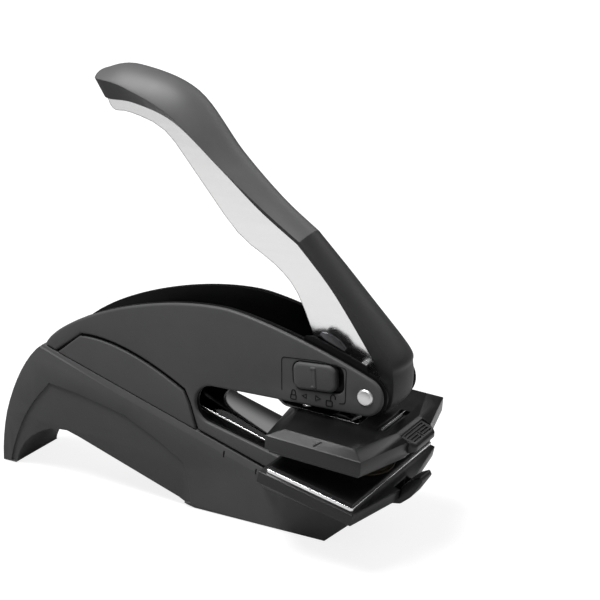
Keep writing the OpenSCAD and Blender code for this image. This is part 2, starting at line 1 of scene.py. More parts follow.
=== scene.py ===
# %% [markdown]
# # A desk seal embosser
# The press is made of solids that were built and joined before this lesson starts. Here they
# are loaded as a fixed frame, and each one gets its finish or a finer piece in its place.
# %% Load the frame
import math

import bmesh
import bpy
import numpy as np
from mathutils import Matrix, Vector
from mathutils.geometry import delaunay_2d_cdt


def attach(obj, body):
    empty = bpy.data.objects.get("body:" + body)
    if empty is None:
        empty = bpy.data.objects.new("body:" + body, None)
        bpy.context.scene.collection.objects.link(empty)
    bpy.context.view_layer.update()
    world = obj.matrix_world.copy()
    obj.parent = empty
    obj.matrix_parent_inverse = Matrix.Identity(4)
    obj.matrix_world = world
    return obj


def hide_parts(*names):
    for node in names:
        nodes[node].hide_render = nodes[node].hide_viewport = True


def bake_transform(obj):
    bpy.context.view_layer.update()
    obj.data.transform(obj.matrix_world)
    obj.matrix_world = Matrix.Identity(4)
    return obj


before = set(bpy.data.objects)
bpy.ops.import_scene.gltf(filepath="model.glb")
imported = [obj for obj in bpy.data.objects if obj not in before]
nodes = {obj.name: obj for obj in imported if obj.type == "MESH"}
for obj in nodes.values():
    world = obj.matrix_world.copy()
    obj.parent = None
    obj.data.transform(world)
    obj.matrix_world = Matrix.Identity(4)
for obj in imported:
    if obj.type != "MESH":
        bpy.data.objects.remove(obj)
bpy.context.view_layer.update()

# %% [markdown]
# The photograph was taken with a long lens from the front right and a little above, with the
# picture cropped off centre. The lens, the distance and the crop (the shift) were worked out
# from edges of the press whose directions are known.
# %% Camera
MM = 0.001
AZIMUTH = math.radians(30.52)
ELEVATION = math.radians(18.36)
DISTANCE = 552.8 * MM
PICTURE = 600
LENS_AXIS = (221.58, 301.06)
aim = Vector((-21.25, 0, 70.77)) * MM
away = Vector((math.sin(AZIMUTH) * math.cos(ELEVATION), -math.cos(AZIMUTH) * math.cos(ELEVATION),
               math.sin(ELEVATION)))
lens = bpy.data.cameras.new("camera")
lens.sensor_width = 36
lens.lens = 100.98
lens.shift_x = (PICTURE / 2 - LENS_AXIS[0]) / PICTURE
lens.shift_y = (LENS_AXIS[1] - PICTURE / 2) / PICTURE
lens.clip_start = 0.01
camera = bpy.data.objects.new("camera", lens)
bpy.context.scene.collection.objects.link(camera)
camera.location = aim + DISTANCE * away
camera.rotation_euler = (-away).to_track_quat("-Z", "Y").to_euler()
bpy.context.scene.camera = camera
print("camera at", [round(c, 4) for c in camera.location])


# %% [markdown]
# A material is a small graph of nodes. One helper makes a node and sets or links its inputs, so
# that the recipes further down stay short. Another gives a finish its bump, over a normal that
# the shader rounds near an edge: a fine rounding needs no geometry of its own.
# %% Helpers for material graphs
def graph_tools(tree):
    """Two functions for one node tree: add makes a node and fills its inputs, link joins two sockets."""
    link = tree.links.new

    def add(kind, *values, operation=None, **named):
        node = tree.nodes.new("ShaderNode" + kind)
        if operation:
            node.operation = operation
        for key, value in [*enumerate(values), *named.items()]:
            socket = node.inputs[key.replace("_", " ") if isinstance(key, str) else key]
            if isinstance(value, bpy.types.NodeSocket):
                link(value, socket)
            else:
                socket.default_value = value
        return node

    return add, link


def new_material(name):
    """An empty material, its shader, and the two functions for its node tree."""
    mat = bpy.data.materials.new(name)
    mat.use_nodes = True
    return mat, mat.node_tree.nodes["Principled BSDF"], *graph_tools(mat.node_tree)


def lift_surface(shader, add, link, height, strength, depth, edge):
    """Bump by a height up to depth metres, and round the normal within edge millimetres of an edge."""
    lift = add("Bump", Height=height, Strength=strength, Distance=depth)
    if edge:
        round_edge = add("Bevel", Radius=edge * MM)
        round_edge.samples = 4
        link(round_edge.outputs["Normal"], lift.inputs["Normal"])
    link(lift.outputs["Normal"], shader.inputs["Normal"])


# %% [markdown]
# Moulded plastic is not one flat colour. The tool's spark-eroded face leaves a fine grain, the
# melt leaves broad and faint changes of gloss, and handling polishes it unevenly. Two noises
# give these: a fine one for the bump, and a broad one for the roughness and, faintly, for the
# colour. They read Object coordinates, which are metres on these pieces.
# %% Moulded plastic
BLOTCHES = 55.0
BLOTCH_SPAN = {"From_Min": 0.3, "From_Max": 0.7}
GLOSS_WANDER = 0.05
GRAIN_DEPTH = 0.0002


def moulded(name, colour, rough, grain=4200.0, bump=0.06, vary=0.25, specular=0.5, edge=0.35):
    """Principled plastic: colour and roughness wander by a broad noise, and a fine noise lifts the surface."""
    mat, shader, add, link = new_material(name)
    where = add("TexCoord").outputs["Object"]
    broad = add("TexNoise", Vector=where, Scale=BLOTCHES, Detail=3.0, Roughness=0.6).outputs["Fac"]
    fine = add("TexNoise", Vector=where, Scale=grain, Detail=2.0, Roughness=0.5).outputs["Fac"]
    tint = add("MapRange", Value=broad, To_Min=1 - vary, To_Max=1 + vary, **BLOTCH_SPAN)
    tinted = add("VectorMath", colour, operation="SCALE", Scale=tint.outputs["Result"])
    link(tinted.outputs["Vector"], shader.inputs["Base Color"])
    gloss = add("MapRange", Value=broad, To_Min=rough - GLOSS_WANDER, To_Max=rough + GLOSS_WANDER, **BLOTCH_SPAN)
    link(gloss.outputs["Result"], shader.inputs["Roughness"])
    lift_surface(shader, add, link, fine, bump, GRAIN_DEPTH, edge)
    shader.inputs["Specular IOR Level"].default_value = specular
    return mat


# %% [markdown]
# Plated steel is a mirror with small faults. The pressed strip shows the rolling direction as
# faint streaks along its length, so its noise is stretched along X. Metal edges can be darkened
# as painted shade, as the lever's are, and a spring leaf that was heated turns dark, which is called blued.
# %% Plated steel
STREAK_DEPTH = 0.0001
# The span and the darkest tone of the painted edge shade, then the tone of blued steel.
EDGE_SHADE_SPAN = {"From_Min": 0.88, "From_Max": 0.99}
EDGE_SHADE_TONE, BLUED_TONE = 0.02, 0.07


def plated(name, colour, rough, stretch=(40.0, 900.0, 900.0), bump=0.03, edge=0.2, blued=None, edge_shade_mm=0.0):
    """Principled metal whose roughness and height follow a noise stretched along the rolling direction.

    Given a radius in millimetres, the edges are painted dark as shade: within it of an edge the rounded normal
    leaves the true normal and the product of the two drops. With blued, a pair of heights, the metal darkens between
    them.
    """
    mat, shader, add, link = new_material(name)
    where = add("TexCoord").outputs["Object"]
    mapped = add("Mapping", Vector=where, Scale=stretch).outputs["Vector"]
    streak = add("TexNoise", Vector=mapped, Scale=1.0, Detail=3.0).outputs["Fac"]
    gloss = add("MapRange", Value=streak, To_Min=max(0.02, rough - 0.05), To_Max=rough + 0.08)
    link(gloss.outputs["Result"], shader.inputs["Roughness"])
    lift_surface(shader, add, link, streak, bump, STREAK_DEPTH, edge)
    shader.inputs["Metallic"].default_value = 1.0
    base = shader.inputs["Base Color"]
    base.default_value = (*colour, 1)
    if edge_shade_mm:
        edge_shade_normal = add("Bevel", Radius=edge_shade_mm * MM)
        edge_shade_normal.samples = 6
        true_normal = add("NewGeometry").outputs["True Normal"]
        same = add("VectorMath", edge_shade_normal.outputs["Normal"], true_normal, operation="DOT_PRODUCT")
        # Painted shade: the colour drops to a dark line where a rounded edge would turn from the light.
        cut = add("MapRange", Value=same.outputs["Value"], To_Min=EDGE_SHADE_TONE, To_Max=colour[0], **EDGE_SHADE_SPAN)
        link(cut.outputs["Result"], base)
    if blued:
        height = add("SeparateXYZ", Vector=where).outputs["Z"]
        tone = add("MapRange", Value=height, From_Min=blued[0], From_Max=blued[1], To_Min=colour[0], To_Max=BLUED_TONE)
        link(tone.outputs["Result"], base)
    return mat


# %% [markdown]
# The big mouldings are a dull dark grey, the die holder and tray a glossier and deeper black.
# The frames are enamelled. Every solid gets its finish, also those that a finer piece replaces
# later, so that nothing is left bare.
# %% The finishes
shell_black = moulded("shell_black", (0.078, 0.078, 0.0795), 0.42, vary=0.07, specular=0.2)
panel_black = moulded("panel_black", (0.08, 0.08, 0.0815), 0.5, grain=3000.0, bump=0.1, vary=0.07, specular=0.2)
grip_black = moulded("grip_black", (0.09, 0.09, 0.092), 0.5, grain=3500.0, bump=0.08, vary=0.1)
nose_black = moulded("nose_black", (0.012, 0.012, 0.013), 0.52, grain=5000.0, bump=0.03)
holder_black = moulded("holder_black", (0.0065, 0.0065, 0.007), 0.34, grain=5200.0, bump=0.03, specular=0.48)
tray_black = moulded("tray_black", (0.012, 0.012, 0.0125), 0.36, grain=5200.0, bump=0.03, specular=0.38)
pad_black = moulded("pad_black", (0.005, 0.005, 0.0055), 0.55, grain=2500.0, bump=0.15, specular=0.3)
# Painted shade: the near-black of the small moulded marks, which are the same plastic as the part under them.
mark_shade_black = moulded("mark_shade_black", (0.002, 0.002, 0.002), 0.5, specular=0.15, edge=0)
foot_rubber = moulded("foot_rubber", (0.014, 0.014, 0.014), 0.8, grain=2200.0, bump=0.3, specular=0.3)
enamel_black = moulded("enamel_black", (0.004, 0.004, 0.0045), 0.4, grain=900.0, bump=0.04, edge=0.15, specular=0.1)
# Painted shade: a near-black copy of the shell plastic, for the cover's inner layer and the groove that shows it.
shaded_lining_black = moulded("shaded_lining_black", (0.003, 0.003, 0.003), 0.6, specular=0.12)
bright_steel = plated("bright_steel", (0.80, 0.80, 0.81), 0.12)
# The lever's edges are painted dark as shade within 0.6 mm of them.
lever_steel = plated("lever_steel", (0.93, 0.93, 0.94), 0.22, edge_shade_mm=0.6)
strip_steel = plated("strip_steel", (0.74, 0.74, 0.76), 0.05, bump=0.015, edge=0.1, blued=(38 * MM, 43 * MM))
pin_steel = plated("pin_steel", (0.93, 0.93, 0.93), 0.42, stretch=(400.0, 400.0, 400.0), bump=0.01)
tube_steel = plated("tube_steel", (0.06, 0.06, 0.065), 0.3)
hook_steel = plated("hook_steel", (0.10, 0.10, 0.105), 0.22)
die_brass = plated("die_brass", (0.075, 0.062, 0.04), 0.35, stretch=(300.0, 300.0, 300.0))
finishes = {
    "base_housing": shell_black, "right_cover": shell_black, "left_cover": shell_black,
    "right_name_panel": panel_black, "left_name_panel": panel_black, "lock_button": panel_black,
    "handle_grip": grip_black, "nose_cover": nose_black, "upper_holder": holder_black, "pull_tab": holder_black,
    "die_tray": tray_black, "latch_lever": tray_black, "lower_die_pad": pad_black, "right_frame": enamel_black,
    "left_frame": enamel_black, "front_foot_pad": foot_rubber, "rear_foot_pad": foot_rubber,
    "lever_buffer": foot_rubber, "handle_lever": lever_steel, "upper_leaf": strip_steel, "pivot_pin": pin_steel,
    "frame_spacers": tube_steel, "lock_hook": hook_steel, "lower_die": die_brass, "upper_die": die_brass,
    "lever_bushes": die_brass, "base_screws": bright_steel, "spring_clip": bright_steel, "latch_pin": bright_steel,
    "roller_pin": bright_steel, "press_roller": bright_steel, "lock_lug": bright_steel,
    "leaf_rivets": bright_steel, "holder_strip": bright_steel}
for name, node in nodes.items():
    node.data.materials.clear()
    node.data.materials.append(finishes[name])
print("finishes on", len(nodes), "nodes")

# %% [markdown]
# New pieces are surfaces worked out as whole arrays. A grid of points is enough for anything
# that is swept or lofted: each cell of the grid is one four-sided face.
# %% Meshes from arrays
MERGE = 0.002 * MM


def wall_faces(rows, cols, first=0, closed=True):
    """Faces of a grid of points whose first one has the index first.

    Cell (i, j) joins rows i and i+1 and columns j and j+1; a closed grid joins its last column to its first.
    """
    i, j = np.meshgrid(np.arange(rows - 1), np.arange(cols if closed else cols - 1), indexing="ij")
    a = first + i * cols + j
    b = first + i * cols + (j + 1) % cols
    return np.stack([a, b, b + cols, a + cols], -1).reshape(-1, 4).tolist()


def piece(name, verts, faces, body, finish, smooth=35.0, replaces=(), slot=None, second=None, where=None):
    """One object from points in millimetres: doubles merged, faces turned outwards, soft below an angle.

    With a second material, where says for each face whether it wears the second one.
    """
    me = bpy.data.meshes.new(name)
    me.from_pydata((np.asarray(verts, float) * MM).tolist(), [], faces)
    me.materials.append(finish)
    if second:
        me.materials.append(second)
        me.polygons.foreach_set("material_index", np.asarray(where, np.int32))
    bm = bmesh.new()
    bm.from_mesh(me)
    bmesh.ops.remove_doubles(bm, verts=bm.verts, dist=MERGE)
    bmesh.ops.recalc_face_normals(bm, faces=bm.faces)
    bm.to_mesh(me)
    bm.free()
    me.shade_smooth()
    me.set_sharp_from_angle(angle=math.radians(smooth))
    ob = bpy.data.objects.new(name, me)
    bpy.context.scene.collection.objects.link(ob)
    if body:
        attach(ob, body)
    if replaces:
        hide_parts(*replaces)
    print(name, "has", len(me.polygons), "faces")
    return ob


# %% [markdown]
# The handle's plastic is two covers in one line: the grip, wide and domed for the palm, and the
# nose cover that runs down over the pivot. Both are lofts: a section is placed at each station
# and the stations are joined by a smooth curve. The stations are the ones that the solids use.
# A narrow rim along the underside of both wears the nose cover's darker finish as painted shade: it is the same
# plastic as the grip's crown.
# %% Stations of the handle
GRIP = [
    (-61.8, 137.4, -67, 142.3, 9, 0.8), (-60.2, 135.3, -64.6, 144.2, 16, 0.72), (-50, 134.8, -53, 146.2, 19.8, 0.46),
    (-35, 130, -31.4, 140.1, 20.6, 0.27), (-18, 117.1, -14.6, 121.8, 16.6, 0.2), (-3.6, 105.5, 0.4, 108.4, 13.8, 0.25),
    (10, 96.4, 12.6, 99.4, 13.6, 0.3)]
NOSE = [
    (10, 96.4, 12.6, 99.4, 13.6, 0.3), (22.3, 83.4, 26.7, 84.5, 14.2, 0.5), (35, 66, 44.5, 65.5, 15.2, 0.75),
    (39, 59.4, 45.8, 59.5, 15.2, 0.8), (40.3, 54, 45.9, 53.6, 15.2, 0.8), (40.3, 50.4, 45.1, 49.8, 15.2, 0.8),
    (39.6, 48, 42.6, 46.4, 15.2, 0.8)]
LEVER_W = 12.6
SLOT_DEPTH = 0.28
CROWN = 1.85


def smooth_run(stations, steps):
    """A Catmull-Rom curve through rows of numbers, with steps rows for each span."""
    s = np.array(stations, float)
    a = np.vstack([s[:1], s[:-2]])
    b, c = s[:-1], s[1:]
    d = np.vstack([s[2:], s[-1:]])
    t = np.linspace(0, 1, steps, endpoint=False)[None, :, None]
    a, b, c, d = (x[:, None, :] for x in (a, b, c, d))
    curve = 0.5 * (2 * b + t * (c - a) + t * t * (2 * a - 5 * b + 4 * c - d) + t ** 3 * (3 * b - a - 3 * c + d))
    return np.vstack([curve.reshape(-1, s.shape[1]), s[-1:]])


def domed(rows, points=36):
    """A section at each row; across it lies at a share of the row's height.

    From side to side, over an angle f from 0 to pi, the crown stands at wall + (1 - wall) sin(f)^CROWN, and
    its half width is that of the row times cos(f). Under it come a turned-in lip and the lever's slot.
    """
    low, up, half, wall = rows[:, 0:2], rows[:, 2:4] - rows[:, 0:2], rows[:, 4:5] / 2, rows[:, 5:6]
    slot = np.minimum(LEVER_W / 2 + 0.05, half - 0.4)
    lip, turn = slot + 0.05, slot + 0.3
    f = np.linspace(0, np.pi, points)
    y = np.hstack([-lip, -turn, -half * np.cos(f), turn, lip, slot, slot, -slot, -slot])
    under = [np.full_like(half, share) for share in (0, 0.01, 0.02, SLOT_DEPTH + 0.01)]
    s = np.hstack([under[0], under[1], wall + (1 - wall) * np.sin(f) ** CROWN, under[1], under[0], under[2],
                   under[3], under[3], under[2]])
    return np.stack([low[:, :1] + s * up[:, :1], y, low[:, 1:] + s * up[:, 1:]], -1)


def lofted(name, stations, finish, node, steps=8):
    """A closed loft through the stations; the rim between the crown and the lip wears the darker finish as painted
    shade.
    """
    grid = domed(smooth_run(stations, steps))
    rows, cols = grid.shape[:2]
    faces = wall_faces(rows, cols) + [list(range(cols)), list(range((rows - 1) * cols, rows * cols))]
    # The rim's darker finish is painted shade: the underside is the same plastic as the crown above it.
    shaded_rim_cells = np.isin(np.arange(cols), (1, cols - 7))
    rim = np.concatenate([np.tile(shaded_rim_cells, rows - 1), (False, False)])
    piece(name, grid.reshape(-1, 3), faces, "handle", finish, 24, [node], name.split("_")[0] + "_black",
          nose_black, rim)


# %% [markdown]
# Grip and nose cover share the station where they meet, so their outlines run on without a step.
# %% Grip and nose cover
lofted("grip_shell", GRIP, grip_black, "handle_grip")
lofted("nose_shell", NOSE, nose_black, "nose_cover")

# %% [markdown]
# The side covers, blank panels and button are moulded plates: flat, with a rounded rim. A plate
# is its outline in the side view, a few rings that turn the rim, and flat faces cut to the
# outline and its holes by a constrained triangulation.
# %% Plates with rounded rims
def moved_in(ring, d):
    """A closed outline drawn in by d: each corner moves along the mean of its two edges' normals."""
    ring = np.asarray(ring, float)
    edge = np.roll(ring, -1, 0) - ring
    edge /= np.linalg.norm(edge, axis=1)[:, None] + 1e-12
    area = np.sum(ring[:, 0] * np.roll(ring[:, 1], -1) - np.roll(ring[:, 0], -1) * ring[:, 1])
    normal = np.stack([-edge[:, 1], edge[:, 0]], 1) * np.sign(area)
    mean = normal + np.roll(normal, 1, 0)
    mean /= np.maximum(np.sum(mean * normal, 1), 0.4)[:, None]
    return ring + d * mean


def inside(points, ring):
    """Even-odd test of many points against one outline."""
    a, b = ring, np.roll(ring, -1, 0)
    x, z = points[:, None, 0], points[:, None, 1]
    cross = (a[:, 1] > z) != (b[:, 1] > z)
    at = a[:, 0] + (z - a[:, 1]) * (b[:, 0] - a[:, 0]) / (b[:, 1] - a[:, 1] + 1e-15)
    return np.sum(cross & (x < at), 1) % 2 == 1


def flat_faces(rings):
    """Triangles between the first outline and the others, its holes, as indices of the rings' points in order."""
    points = np.vstack(rings)
    edges, first = [], 0
    for ring in rings:
        n = len(ring)
        edges += [(first + i, first + (i + 1) % n) for i in range(n)]
        first += n
    out, _, tris, origin, _, _ = delaunay_2d_cdt([Vector(p) for p in points], edges, [], 0, 1e-7)
    back = np.array([o[0] if o else -1 for o in origin])
    tris = np.array([t for t in tris if len(t) == 3])
    middle = np.array(out, float)[tris].mean(1)
    keep = inside(middle, rings[0])
    for ring in rings[1:]:
        keep &= ~inside(middle, ring)
    return back[tris[keep]]


def plate(outline, y0, y1, rim, holes=(), hole_rim=0.2, turns=4):
    """Points and faces of a plate from y0 to its shown face y1; its rim turns through a quarter circle."""
    side = np.sign(y1 - y0)
    verts, faces, front, rear, first = [], [], [], [], 0
    for k, ring in enumerate([outline, *holes]):
        ring = np.asarray(ring, float)
        r, inward = (rim, 1) if k == 0 else (hole_rim, -1)
        levels = [(0.0, y0)] + [(inward * r * (1 - math.cos(a)), y1 - side * r * (1 - math.sin(a)))
                                for a in np.linspace(0, math.pi / 2, turns + 1)]
        rings = [moved_in(ring, d) if d else ring for d, _ in levels]
        block = np.vstack([np.column_stack([q[:, 0], np.full(len(q), y), q[:, 1]])
                           for q, (_, y) in zip(rings, levels)])
        faces += wall_faces(len(levels), len(ring), first)
        rear.append((rings[0], first))
        front.append((rings[-1], first + (len(levels) - 1) * len(ring)))
        verts.append(block)
        first += len(block)
    for layer in (rear, front):
        index = np.concatenate([start + np.arange(len(ring)) for ring, start in layer])
        faces += index[flat_faces([ring for ring, _ in layer])].tolist()
    return np.vstack(verts), faces


def joined(parts):
    """Several blocks of points and faces as one."""
    verts, faces, first = [], [], 0
    for v, f in parts:
        verts.append(v)
        faces += [[i + first for i in face] for face in f]
        first += len(v)
    return np.vstack(verts), faces


# %% [markdown]
# The cover's outline is one line: over the dome, round the nose, back along the throat to its
# rounded end, forwards along the slot and home along the seam with the base. The blank panel is
# let into it above the seam. The shown layer of a cover keeps back from the seam and the panel,
# and a much darker lining behind it paints the shade in the groove between them.
# %% Outlines in the side view
def cubic(a, b, c, d, n=12):
    """A cubic curve with a and d as ends and b and c as pulls."""
    t = np.linspace(0, 1, n + 1)[:, None]
    a, b, c, d = (np.array(p, float) for p in (a, b, c, d))
    return (1 - t) ** 3 * a + 3 * (1 - t) ** 2 * t * b + 3 * (1 - t) * t * t * c + t ** 3 * d


def arc(c, r, a0, a1, n=10):
    """Points on a circle about c from angle a0 to a1, in degrees."""
    a = np.radians(np.linspace(a0, a1, n + 1))
    return np.stack([c[0] + r * np.cos(a), c[1] + r * np.sin(a)], 1)


def seam(x):
    """Height of the seam between base and covers: a straight line that falls towards the front."""
    return SEAM_Z - x * math.tan(math.radians(SEAM_DEG))


def turned(points, c, degrees):
    """Points of the side view turned about c."""
    a = math.radians(degrees)
    x, z = (np.asarray(points, float) - c).T
    return np.stack([x * math.cos(a) - z * math.sin(a), x * math.sin(a) + z * math.cos(a)], 1) + c


def rounded(c, l, h, r, n=6):
    """A rectangle about c, l long and h high, with corners of radius r."""
    return np.vstack([arc((c[0] + i * (l / 2 - r), c[1] + k * (h / 2 - r)), r, a, a + 90, n)
                      for i, k, a in ((1, 1, 0), (-1, 1, 90), (-1, -1, 180), (1, -1, 270))])


SEAM_Z, SEAM_DEG = 21.6, 17.2
TRAY, HOLDER = (31.3, 12.5), (42.3, 3.3)
GAP, GROOVE = 0.3, 0.8
PIN = np.array((37.7, 52.9))
NOSE_C, NOSE_R = PIN - (0.5, 0), 6.4
THROAT_R = 6.6
THROAT_C = np.array((THROAT_R - 23.9, NOSE_C[1] - NOSE_R - 0.9 - THROAT_R))
FLOOR_DEG = 13.3
TRAY_REAR, TRAY_WALL = 10.5, 4
COVER_FRONT = TRAY_REAR * math.cos(math.radians(TRAY[1])) - TRAY_WALL * math.sin(math.radians(TRAY[1])) - GAP
low = arc(THROAT_C, THROAT_R, 270 - FLOOR_DEG, 270, 1)[0]
slot_front = (COVER_FRONT, low[1] - (COVER_FRONT - low[0]) * math.tan(math.radians(FLOOR_DEG)))
COVER_BACK = 104.8 - 19.5 - 1.3
dome_top = (-14, 73.2)
nose_meets = arc(NOSE_C, NOSE_R, 66, 66, 1)[0]
over = np.vstack([
    cubic((-COVER_BACK, seam(-COVER_BACK) + 1.4), (6.5 - COVER_BACK, 59.5), (-42, 73.5), dome_top, 30)[:-1],
    cubic(dome_top, (-4, 73.2), (PIN[0] - 16.1, 66.2), nose_meets, 24),
    arc(NOSE_C, NOSE_R, 62, -90, 24), arc(THROAT_C, THROAT_R, 90, 270 - FLOOR_DEG, 24), [slot_front]])
seam_front, seam_back = (COVER_FRONT, seam(COVER_FRONT) + GAP), (-COVER_BACK, seam(-COVER_BACK) + GAP)
cover_line = np.vstack([[seam_back], over, [seam_front]])
panel_top = np.vstack([cubic((-69.6, 54), (-60, 55), (-46, 52), (-28.4, 42), 20), [(-26.4, 37.8)]])
PANEL_BACK, PANEL_FRONT = -79.2, -23.6
OUTWARDS = np.array((0.5, 0.87))
FOOT_LEAN = 0.4


def panel_line(g, foot=GAP):
    """The blank panel's outline, grown by g above the seam; its front end stands foot above the seam."""
    back, front = PANEL_BACK - g, PANEL_FRONT + g
    return np.vstack([[(back, seam(back) + GAP)], panel_top + g * OUTWARDS,
                      [(front - FOOT_LEAN * (foot - GAP), seam(front) + foot)]])


front_foot = (COVER_FRONT, seam(COVER_FRONT) + GROOVE)
front_line = np.vstack([[seam_back], over, [front_foot], panel_line(0.8, GROOVE)[::-1]])
pin_hole = arc(PIN, 2.7, 0, 360, 40)[:-1]
BUTTON_C = np.array((20.2, 56.3))
BUTTON_L, SLIDE, BUTTON_DEG = 15, 2.3, 4
window = turned(rounded(BUTTON_C + (SLIDE / 2, 0), BUTTON_L + SLIDE + 0.7, 9.7, 3), BUTTON_C, BUTTON_DEG)
print("cover outline:", len(cover_line), "points")


# %% [markdown]
# Each side has a shell, its lining and a blank panel, and the left side mirrors the right one.
# Only the right cover has the window of the lock button.
# %% Covers and panels
INNER_Y, LINING_Y, COVER_Y, PANEL_Y = 10.8, 11.6, 12.8, 12.9
for side, word in ((1, "left"), (-1, "right")):
    holes = [pin_hole] if side > 0 else [pin_hole, window]
    layers = [
        ("_cover_shell", plate(front_line, LINING_Y, COVER_Y, 0.85, holes, 0.3, 5), shell_black,
         [word + "_cover"], "black_shell"),
        # The lining's near-black finish is painted shade on the groove and the cover's inner side, which are the
        # shell's own plastic.
        ("_cover_shaded_lining", plate(cover_line, INNER_Y, LINING_Y, 0.05, holes, 0.02, 1), shaded_lining_black, (), "black_shell"),
        ("_panel_plate", plate(panel_line(-0.3), LINING_Y, PANEL_Y, 0.45), panel_black,
         [word + "_name_panel"], "soft_black")]
    for part, (verts, faces), finish, replaced, slot in layers:
        piece(word + part, verts * np.array((1, side, 1)), faces, "base", finish, 30, replaced, slot)

# %% [markdown]
# Moulded and pressed parts have no knife edges. Where a solid already has the right shape, a copy
# of it is enough: its triangles are merged into whole faces, and a bevel rolls each sharp edge
# over by a fraction of a millimetre, so that it catches a line of light as the real edge does.
# %% Solids with softened edges
def softened(name, node, body, finish, width, limit=14.0):
    """A merged copy of one solid, its flat faces made whole and its edges over limit degrees rolled by width.

    At width 0 those edges stay sharp.
    """
    me = nodes[node].data.copy()
    me.name = name
    bm = bmesh.new()
    bm.from_mesh(me)
    bmesh.ops.remove_doubles(bm, verts=bm.verts, dist=MERGE)
    bmesh.ops.dissolve_limit(bm, angle_limit=math.radians(0.6), verts=bm.verts, edges=bm.edges)
    bmesh.ops.recalc_face_normals(bm, faces=bm.faces)
    bm.to_mesh(me)
    bm.free()
    me.shade_smooth()
    me.materials.clear()
    me.materials.append(finish)
    ob = bpy.data.objects.new(name, me)
    bpy.context.scene.collection.objects.link(ob)
    if width:
        roll = ob.modifiers.new("rolled edges", "BEVEL")
        roll.width = width * MM
        roll.segments = 2
        roll.limit_method = "ANGLE"
        roll.angle_limit = math.radians(limit)
        roll.harden_normals = True
        roll.use_clamp_overlap = True
    else:
        me.set_sharp_from_angle(angle=math.radians(limit))
    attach(ob, body)
    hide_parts(node)
    print(name, "has", len(me.polygons), "faces before its bevel")


softened("base_moulding", "base_housing", "base", shell_black, 0.35)
softened("tray_moulding", "die_tray", "base", tray_black, 0.3)
softened("right_frame_blank", "right_frame", "base", enamel_black, 0.12)
softened("left_frame_blank", "left_frame", "base", enamel_black, 0.12)
softened("latch_moulding", "latch_lever", "latch", tray_black, 0.4)
softened("holder_moulding", "upper_holder", "jaw", holder_black, 0.3)
softened("lever_pressing", "handle_lever", "handle", lever_steel, 0, 30)
softened("pad_slab", "lower_die_pad", "base", pad_black, 0.2)
softened("front_foot", "front_foot_pad", "base", foot_rubber, 0.25)
softened("rear_foot", "rear_foot_pad", "base", foot_rubber, 0.25)
softened("hook_blank", "lock_hook", "lock", hook_steel, 0.15)
softened("foot_screws", "base_screws", "base", bright_steel, 0.15)

# %% [markdown]
# Pins, tubes and dies come off a lathe, so each is a profile turned about an axis. Most of their
# axes run across the press; those of the dies and rivets stand on the tray or the holder, which
# are tilted planes.
# %% Turned parts
def turned_round(profile, turns=48, ring=False):
    """Points and faces of a profile, rows of (height, radius), turned about the upright axis.

    A ring joins the profile's last row to its first.
    """
    rows = np.array([*profile, profile[0]] if ring else profile, float)
    a = np.linspace(0, 2 * np.pi, turns, endpoint=False)
    x, y = rows[:, 1:] * np.cos(a), rows[:, 1:] * np.sin(a)
    z = np.repeat(rows[:, :1], turns, 1)
    return np.stack([x, y, z], -1).reshape(-1, 3), wall_faces(len(rows), turns)


def across(block, at):
    """A turned block laid across the press: its height runs along Y, through a point of the side view."""
    verts, faces = block
    return np.stack([verts[:, 0] + at[0], verts[:, 2], verts[:, 1] + at[1]], 1), faces


def tilted(block, height, degrees, at=(0, 0, 0)):
    """A block moved by at, then turned about Y by degrees and raised, as the tray and the holder are."""
    verts, faces = block
    x, y, z = (verts + np.array(at, float)).T
    a = math.radians(degrees)
    return np.stack([x * math.cos(a) + z * math.sin(a), y, z * math.cos(a) - x * math.sin(a) + height], 1), faces


def two_ended(half):
    """A whole profile from its first half: the rows come again in reverse, with their heights turned over."""
    return half + [(-h, r) for h, r in half[::-1]]


LEAF_W, STRIP_T, PLATE_T, BEVEL_H = 18.4, 0.8, 1.4, 1.8
ROLLER_C = arc(PIN, 12.8, 204.2, 204.2, 1)[0]
SPACERS = [(-70, seam(-70) + 4.2), (-40, 42.5), (-33.5, 53.1)]
PIN_END = 13.24
DIE_X, DIE_R = 28, 14
pin_rows = two_ended([(h - PIN_END, r) for h, r in
                      ((0, 0), (0, 2.0), (-0.06, 2.12), (-0.06, 2.3), (0.12, 2.55), (0.4, 2.7))])
roller_rows = two_ended([(-4.6, 1.55), (-4.6, 3.7), (-4.5, 3.95), (-4.25, 4.1), (-1.3, 4.1), (-1.2, 4.0)])
axle_rows = two_ended([(-6.3, 0), (-6.3, 1.2), (-6.1, 1.5)])
tube_rows = two_ended([(-10.8, 0), (-10.8, 1.5), (-9.8, 1.5), (-9.8, 2.7), (-9.6, 3)])
latch_rows = two_ended([(-7.8, 0), (-7.8, 0.7), (-7.6, 0.9)])
ridges = [(k * 2.5 + d - 5, r) for k in range(4) for d, r in ((0.0, 4.35), (0.35, 4.7), (2.15, 4.7), (2.5, 4.35))]
die_rows = [(0, 0), (0, DIE_R), (1.0, DIE_R), (1.2, 13.8), (1.2, 13.3), (1.0, 13.1), (1.0, 12.5), (1.15, 12.35),
            (1.15, 11.9), (1.0, 11.75), (1.0, 0)]
head_rows = [(-1, 0), (-1, 1), (1.8, 1), (1.8, 1.7), (1.95, 1.68), (2.2, 1.3), (2.3, 0.7), (2.32, 0)]
tubes = [across(turned_round(tube_rows), c) for c in SPACERS]
sleeve = turned_round([(-5, 3.02), *ridges, (5, 3.02)], ring=True)
lower_die = tilted(turned_round(die_rows, 96), *TRAY, (DIE_X, 0, 0.05 + PLATE_T + 1.1 - 0.9))
upper_die = tilted(turned_round([(-h, r) for h, r in die_rows], 96), *HOLDER, (DIE_X, 0, -5.8))
heads = [tilted(turned_round(head_rows, 32), *HOLDER, (14, y, 0)) for y in (-5.5, 5.5)]
